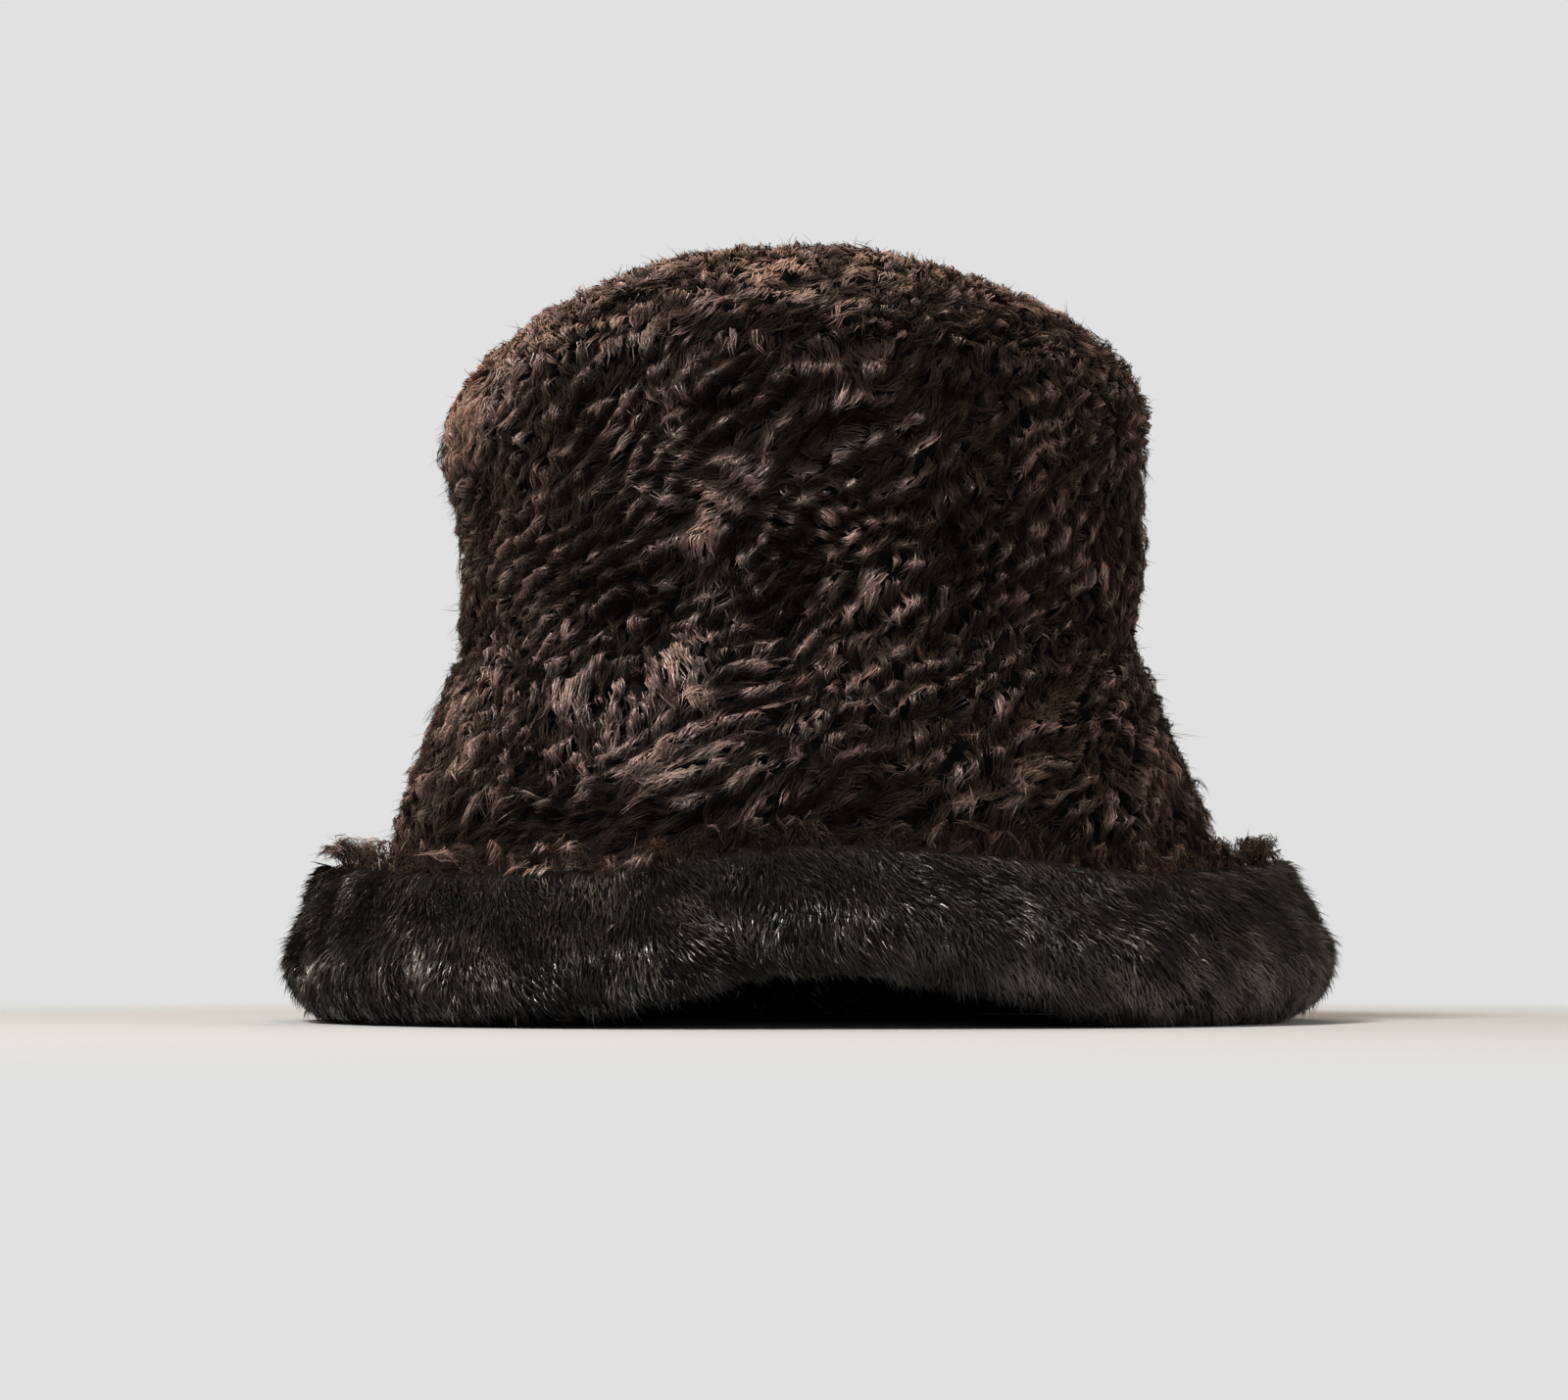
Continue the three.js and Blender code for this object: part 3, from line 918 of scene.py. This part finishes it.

# Stops of ramps: fibres; the tint, which paints shade at its low end, but for its top stop of
# painted highlight; and slow changes of hue.
STREAKS = ((0.36, (0.5, 0.49, 0.48)), (0.5, (0.95, 0.95, 0.95)), (0.68, (1.5, 1.47, 1.45)))
TINTS = (
    (0.0, (0.036, 0.043, 0.045)),
    (0.3, (0.175, 0.195, 0.207)),
    (0.5, (0.57, 0.6, 0.63)),
    (0.7, (1.7, 1.7, 1.7)),
    (0.9, (3.5, 3.4, 3.35)),
)
HUES = ((0.4, (0.93, 1.0, 1.02)), (0.6, (1.09, 0.99, 0.96)))
LESS_FADED = (0.78, 0.8, 0.82)

# Object coordinates scaled and then moved by these are longer on the hat's sides, where warm
# light is painted.
FLANK_SCALE = (1.0, 0.25, 0.8)
FLANK_MOVE = (0.0, 0.0, -0.096)


def link(tree, source, target, socket):
    """Joins a source to another node's input."""
    node, output = source
    tree.links.new(node.outputs[output], target.inputs[socket])


def fill(node, values):
    """Sets inputs of a node by name."""
    for name, value in values.items():
        node.inputs[name].default_value = value


def fed(tree, kind, source, socket, output, values):
    """A new node with a source on one input and values on others. Returns it as a source."""
    node = tree.nodes.new(kind)
    fill(node, values)
    link(tree, source, node, socket)
    return node, output


def mapping(tree, source, scale, location=(0, 0, 0)):
    """A vector scaled and then moved."""
    values = {"Scale": scale, "Location": location}
    return fed(tree, "ShaderNodeMapping", source, "Vector", "Vector", values)


def noise(tree, source, scale, detail, roughness):
    """Noise at a vector."""
    values = {"Scale": scale, "Detail": detail, "Roughness": roughness}
    return fed(tree, "ShaderNodeTexNoise", source, "Vector", "Fac", values)


def vector_length(tree, source):
    """Length of a vector."""
    node, output = fed(tree, "ShaderNodeVectorMath", source, "Vector", "Value", {})
    node.operation = "LENGTH"
    return node, output


def eased(tree, source, ends):
    """A value eased between its ends by a smooth step."""
    node, output = fed(tree, "ShaderNodeMapRange", source, "Value", "Result", ends)
    node.interpolation_type = "SMOOTHSTEP"
    return node, output


def ramp(tree, source, stops):
    """A colour ramp with stops of position and colour."""
    node, output = fed(tree, "ShaderNodeValToRGB", source, "Fac", "Color", {})
    band = node.color_ramp
    while len(band.elements) < len(stops):
        band.elements.new(0.5)
    for element, (position, colour) in zip(band.elements, stops):
        element.position = position
        element.color = (*colour, 1)
    return node, output


def product(tree, first, *others):
    """Colours multiplied together in turn."""
    for second in others:
        node = tree.nodes.new("ShaderNodeMix")
        node.data_type = "RGBA"
        node.blend_type = "MULTIPLY"
        node.inputs[MIX_FACTOR].default_value = 1.0
        link(tree, first, node, MIX_FIRST)
        link(tree, second, node, MIX_SECOND)
        first = (node, MIX_RESULT)
    return first


def bump(tree, source, shader, strength, distance):
    """Fine relief on a shader, with a source as its height."""
    values = {"Strength": strength, "Distance": distance}
    relief = fed(tree, "ShaderNodeBump", source, "Height", "Normal", values)
    link(tree, relief, shader, "Normal")


def new_material(name, values):
    """A material with values on its shader. Returns it, its tree, the shader, and Object
    coordinates as a source."""
    material = bpy.data.materials.new(name)
    material.use_nodes = True
    tree = material.node_tree
    shader = tree.nodes["Principled BSDF"]
    fill(shader, values)
    return material, tree, shader, (tree.nodes.new("ShaderNodeTexCoord"), "Object")


def hair_material(name, values, root, tip, painted_highlight, faded, painted_flank_light, grain, shine):
    """Hairs: a product of their root and tip colours, the root darker as painted shade deep in
    the pile; fibres; the tint, which paints shade and highlights; slow changes of tone and hue;
    and painted warm light on the hat's sides. The gloss grows with the tint, so it follows the
    painted shade and highlights."""
    material, tree, shader, spot = new_material(name, values)
    strand = tree.nodes.new("ShaderNodeUVMap")
    strand.uv_map = "strand"
    field = tree.nodes.new("ShaderNodeAttribute")
    field.attribute_name = "tint"
    uv = (strand, "UV")
    tint = (field, "Fac")

    share = fed(tree, "ShaderNodeSeparateXYZ", uv, "Vector", "Y", {})
    fibres = noise(tree, mapping(tree, uv, grain), 1.0, 2.0, 0.5)
    patches = noise(tree, spot, 26.0, 3.0, 0.6)
    hues = noise(tree, spot, 85.0, 1.0, 0.5)
    # Distance out to the hat's sides, where warm light shining through the hair tips is painted.
    painted_flank_light_mask = vector_length(tree, mapping(tree, spot, FLANK_SCALE, FLANK_MOVE))
    colour = product(
        tree,
        # Root to tip: the root darker than the tip as painted shade deep in the pile.
        ramp(tree, share, ((0.1, root), (0.5, tip))),
        ramp(tree, fibres, STREAKS),
        # Painted shade and painted highlight carried by the tint.
        ramp(tree, tint, (*TINTS, (1.0, painted_highlight))),
        ramp(tree, patches, ((0.38, LESS_FADED), (0.66, faded))),
        ramp(tree, hues, HUES),
        # Painted warm light on the hat's sides.
        ramp(tree, painted_flank_light_mask, ((0.06, (1, 1, 1)), (0.11, painted_flank_light))),
    )
    link(tree, colour, shader, "Base Color")
    # The gloss follows the tint: less in the painted shade of the creases, more on the painted
    # highlights.
    ends = dict(zip(("From Min", "From Max", "To Min", "To Max"), shine))
    link(tree, eased(tree, tint, ends), shader, "Specular IOR Level")
    bump(tree, fibres, shader, 0.55, 0.00025)

    direction = tree.nodes.new("ShaderNodeTangent")
    direction.direction_type = "UV_MAP"
    direction.uv_map = "strand"
    link(tree, (direction, "Tangent"), shader, "Tangent")
    return material


# Curly pile: dark brown with a pinkish sheen on the locks, partly a real gloss and partly
# painted highlight, its roots darker as painted shade.
CURLY_HAIR = dict(
    name="curly_hair",
    values={
        "Roughness": 0.36,
        "IOR": 1.65,
        "Specular Tint": (1.0, 0.77, 0.72, 1),
        "Anisotropic": 0.6,
        "Sheen Weight": 0.3,
        "Sheen Roughness": 0.5,
        "Sheen Tint": (0.58, 0.38, 0.26, 1),
    },
    # Darker root, as painted shade deep in the pile.
    root=(0.0024, 0.0022, 0.0018),
    tip=(0.0385, 0.0263, 0.0221),
    # Colour at the tint's top: painted highlight on the curls' tops.
    painted_highlight=(6.2, 5.45, 5.0),
    faded=(1.35, 1.28, 1.2),
    # Painted warm light on the hat's sides.
    painted_flank_light=(1.27, 1.14, 1.02),
    grain=(5.0, 2.5, 1.0),
    shine=(0.38, 0.92, 0.03, 1.0),
)

# Sleek pile: nearly black, with silvery glints that are painted into the tint as well as a real
# gloss.
SLEEK_HAIR = dict(
    name="sleek_hair",
    values={
        "Roughness": 0.27,
        "IOR": 1.9,
        "Specular Tint": (1.0, 0.94, 0.88, 1),
        "Anisotropic": 0.75,
        "Sheen Weight": 0.16,
        "Sheen Roughness": 0.5,
        "Sheen Tint": (0.5, 0.42, 0.32, 1),
    },
    # Darker root, as painted shade deep in the pile.
    root=(0.0040, 0.0036, 0.0030),
    tip=(0.0185, 0.0167, 0.0145),
    # Colour at the tint's top: painted glints.
    painted_highlight=(7.0, 6.8, 6.6),
    faded=(1.2, 1.18, 1.12),
    # Painted warm light on the hat's sides.
    painted_flank_light=(1.18, 1.12, 0.98),
    grain=(3.0, 2.0, 1.0),
    shine=(0.5, 0.95, 0.07, 1.0),
)


def cloth_material(name, colour, scale, roughness):
    """The dense pile under the locks, and the backing: matt, dark, and finely tufted."""
    values = {"Roughness": roughness, "Specular IOR Level": 0.05}
    material, tree, shader, spot = new_material(name, values)
    tufts = noise(tree, spot, scale, 4.0, 0.65)
    dark = tuple(0.45 * channel for channel in colour)
    light = tuple(1.5 * channel for channel in colour)
    link(tree, ramp(tree, tufts, ((0.32, dark), (0.7, light))), shader, "Base Color")
    bump(tree, tufts, shader, 0.9, 0.0012)
    return material


# The pieces.

def dress(piece, node):
    """Puts a piece on the hat's one body, in place of a node, which it hides."""
    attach(piece, "root")
    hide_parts(node)


def within_tip(a, b):
    """Keeps seeds inside the tip's seam, and a little over it at the back."""
    azimuth = np.degrees(np.arctan2(a, -b))
    over = 0.045 * (1 - np.cos(np.radians(azimuth))) / 2
    reach = 1 - tip_seam_angle(azimuth) / (np.pi / 2) + over
    return (np.hypot(a, b) < reach) * 1.0


def within_side(azimuth, level):
    """Keeps seeds between the head seam and the tip seam, and a little over that."""
    top = DOME_BASE + tip_seam_angle(azimuth) * DOME_RISE + 2
    return ((level > HEAD_SEAM_HEIGHT) & (level < top)) * 1.0


def within_brim(azimuth, length):
    """Keeps seeds on the brim and its rolled rim, but none deep in the closed fold and fewer
    in the valley behind the turned-up edge."""
    section = brim_section(azimuth)
    shut = section["folded"] > 0.6
    deep = length > section["slope"] + 0.1 * section["bend"]
    deep &= length < section["slope"] + 0.8 * section["bend"]
    rim = section["edge"]
    inside = length < rim + SEEDS_PAST_EDGE
    valley = smooth(length, 66, 78) * (1 - smooth(length, rim - 20, rim - 10))
    valley = valley * smooth(section["folded"], 0.5, 0.9)
    return (inside & ~(shut & deep)) * (1 - 0.6 * valley)


def split_front(grown, front):
    """The hairs whose first vertex lies before or behind the hat's middle."""
    chosen = (grown[0][:, 0, 1] < 0) == front
    return [values[chosen] for values in grown]


LOCKS_PER_CM2 = 10
HAIRS_ON_TIP = 12.5
HAIRS_ON_SIDE = 22.5
HAIRS_ON_BRIM = 14.3


def curly_pile(cloth, low, high, seed, keep, hairs):
    """The curly pile of one panel: locks scattered between two corners, and their hairs."""
    u, v = scatter(cloth, low, high, LOCKS_PER_CM2, seed, keep)
    return grow_locks(cloth, u, v, seed + 100, hairs)


def curly_pieces(material):
    """All the curly pile, in pieces by panel and by half."""
    tip = curly_pile(tip_cloth, (-1, -1), (1, 1), 10, within_tip, HAIRS_ON_TIP)
    dress(fur_piece("crown_tip_fur", tip, material), "crown_tip")
    side = curly_pile(side_cloth, (-180, 100), (180, 200), 20, within_side, HAIRS_ON_SIDE)
    brim = curly_pile(brim_cloth, (-180, 0), (180, 175), 30, within_brim, HAIRS_ON_BRIM)
    for node, panel in (("crown_side", side), ("brim_outer", brim)):
        for half, front in (("front", True), ("back", False)):
            part = split_front(panel, front)
            piece = fur_piece(f"{node}_fur_{half}", part, material)
            dress(piece, node)


def on_flap(azimuth, length):
    """The turned-up part of the facing, with the fold it turns on."""
    section = brim_section(azimuth)
    shown = section["folded"] > 0.35
    return shown & (length > section["slope"] + 0.12 * section["bend"])


def within_flap(azimuth, length):
    """Keeps seeds on the turned-up part, and a little past its free edge."""
    edge = brim_section(azimuth)["edge"] + 1
    return (on_flap(azimuth, length) & (length < edge)) * 1.0


def within_inside(azimuth, length):
    """Keeps seeds on the part of the facing that stays underneath."""
    edge = brim_section(azimuth)["edge"] - FACING_SHORT
    return (~on_flap(azimuth, length) & (length > 3) & (length < edge)) * 1.0


# The facing's pile, dense on the turned-up band and plainer underneath: name, where it
# grows, hairs for each square centimetre, seed, length, width and heading.
PILES = (
    ("band", within_flap, 144, 40, 5.0, 0.28, 208),
    ("inside", within_inside, 24, 50, 9.0, 0.7, 15),
)


def sleek_pieces(material):
    """The facing's pile, in two pieces."""
    for name, keep, per_cm2, seed, length, width, heading in PILES:
        u, v = scatter(facing_cloth, (-180, 0), (180, 175), per_cm2, seed, keep)
        grown = grow_pile(facing_cloth, u, v, seed + 100, length, width, heading)
        piece = fur_piece(f"brim_facing_pile_{name}", grown, material)
        dress(piece, "brim_facing")


def cloth_pieces():
    """The four cloths under the pile."""
    curly = cloth_material("curly_undercoat", (0.0063, 0.0051, 0.0044), 420.0, 0.95)
    sleek = cloth_material("sleek_undercoat", (0.005, 0.0045, 0.0038), 700.0, 0.8)
    dress(crown_tip_cloth(curly), "crown_tip")
    dress(crown_side_cloth(curly), "crown_side")
    dress(brim_outer_cloth(curly), "brim_outer")
    dress(brim_facing_cloth(sleek), "brim_facing")


# Floor, light and camera.

# What the camera sees behind the hat, and the colour and strength of the light from there.
PALE_GREY = (0.745, 0.75, 0.745, 1)
STUDIO_COLOUR = (0.76, 0.765, 0.76, 1)
STUDIO_STRENGTH = 0.2

FLOOR_COLOUR = (0.402, 0.408, 0.408, 1)
FLOOR_WIDTH = 60

# Soft boxes: name, place, what each points at, size, power and colour. The key is at the
# upper left, a fill at the right, warm ones beside and behind, and a weak low one in front.
LIGHTS = (
    ("low", (0.1, -1.6, 0.14), (0, 0, 0.05), 0.5, 3, (1.0, 0.97, 0.94)),
    ("key", (-0.75, -0.95, 1.55), (0, 0, 0.1), 0.45, 50, (1.0, 0.97, 0.94)),
    ("fill", (1.6, -0.7, 0.8), (0, 0, 0.12), 1.3, 15, (1.0, 0.92, 0.82)),
    ("side", (-1.35, 0.5, 0.95), (0, 0, 0.16), 0.6, 7, (1.0, 0.85, 0.7)),
    ("top", (0.1, 0.55, 1.6), (0, 0, 0.12), 1.0, 14, (1.0, 0.78, 0.62)),
)


def mix_shaders(tree, factor, first, second, end):
    """Sends a mix of two shaders to the tree's last node."""
    node = tree.nodes.new("ShaderNodeMixShader")
    link(tree, factor, node, "Fac")
    link(tree, first, node, 1)
    link(tree, second, node, 2)
    link(tree, (node, "Shader"), tree.nodes[end], "Surface")


def floor_paint():
    """Pale matt paint that fades out round the hat."""
    values = {"Base Color": FLOOR_COLOUR, "Roughness": 0.9, "Specular IOR Level": 0.1}
    material, tree, shader, spot = new_material("floor_paint", values)
    fade = eased(tree, vector_length(tree, spot), {"From Min": 0.2, "From Max": 0.62})
    clear = tree.nodes.new("ShaderNodeBsdfTransparent")
    mix_shaders(tree, fade, (shader, "BSDF"), (clear, "BSDF"), "Material Output")
    return material


def studio():
    """Weak light from all round. The camera sees a brighter grey."""
    world = bpy.data.worlds.new("studio")
    bpy.context.scene.world = world
    world.use_nodes = True
    tree = world.node_tree
    glow = tree.nodes["Background"]
    fill(glow, {"Color": STUDIO_COLOUR, "Strength": STUDIO_STRENGTH})
    seen = tree.nodes.new("ShaderNodeBackground")
    fill(seen, {"Color": PALE_GREY})
    ray = (tree.nodes.new("ShaderNodeLightPath"), "Is Camera Ray")
    mix_shaders(tree, ray, (glow, "Background"), (seen, "Background"), "World Output")


def stage():
    """A pale floor in a pale studio."""
    bpy.ops.mesh.primitive_plane_add(size=FLOOR_WIDTH, location=(0, 0, 0))
    floor = bpy.context.object
    floor.name = "floor"
    floor.data.materials.append(floor_paint())
    studio()


def aim(item, place_at, target):
    """Puts a light or camera at a place, looking at a target."""
    ahead = unit(np.array(target, float) - np.array(place_at, float))
    item.location = place_at
    yaw = math.atan2(-ahead[0], ahead[1])
    item.rotation_euler = (math.acos(-ahead[2]), 0, yaw)


def soft_light(name, place_at, target, size, power, colour):
    """A square soft box."""
    data = bpy.data.lights.new(name, "AREA")
    data.size = size
    data.energy = power
    data.color = colour
    item = bpy.data.objects.new(name, data)
    bpy.context.scene.collection.objects.link(item)
    aim(item, place_at, target)


CAMERA_DISTANCE = 1.05
CAMERA_HEIGHT = 0.016
CAMERA_TARGET = (-0.0076, 0, 0.096)
VIEW_WIDTH = 0.4706
SENSOR = 36


def camera():
    """The photograph's distance and frame, straight from the front and just over the floor."""
    data = bpy.data.cameras.new("camera")
    data.sensor_fit = "HORIZONTAL"
    data.sensor_width = SENSOR
    data.lens = SENSOR * CAMERA_DISTANCE / VIEW_WIDTH
    item = bpy.data.objects.new("camera", data)
    bpy.context.scene.collection.objects.link(item)
    aim(item, (0, -CAMERA_DISTANCE, CAMERA_HEIGHT), CAMERA_TARGET)
    bpy.context.scene.camera = item


camera()
stage()
for light in LIGHTS:
    soft_light(*light)
cloth_pieces()
curly_pieces(hair_material(**CURLY_HAIR))
sleek_pieces(hair_material(**SLEEK_HAIR))
bpy.context.scene.view_settings.view_transform = "Standard"
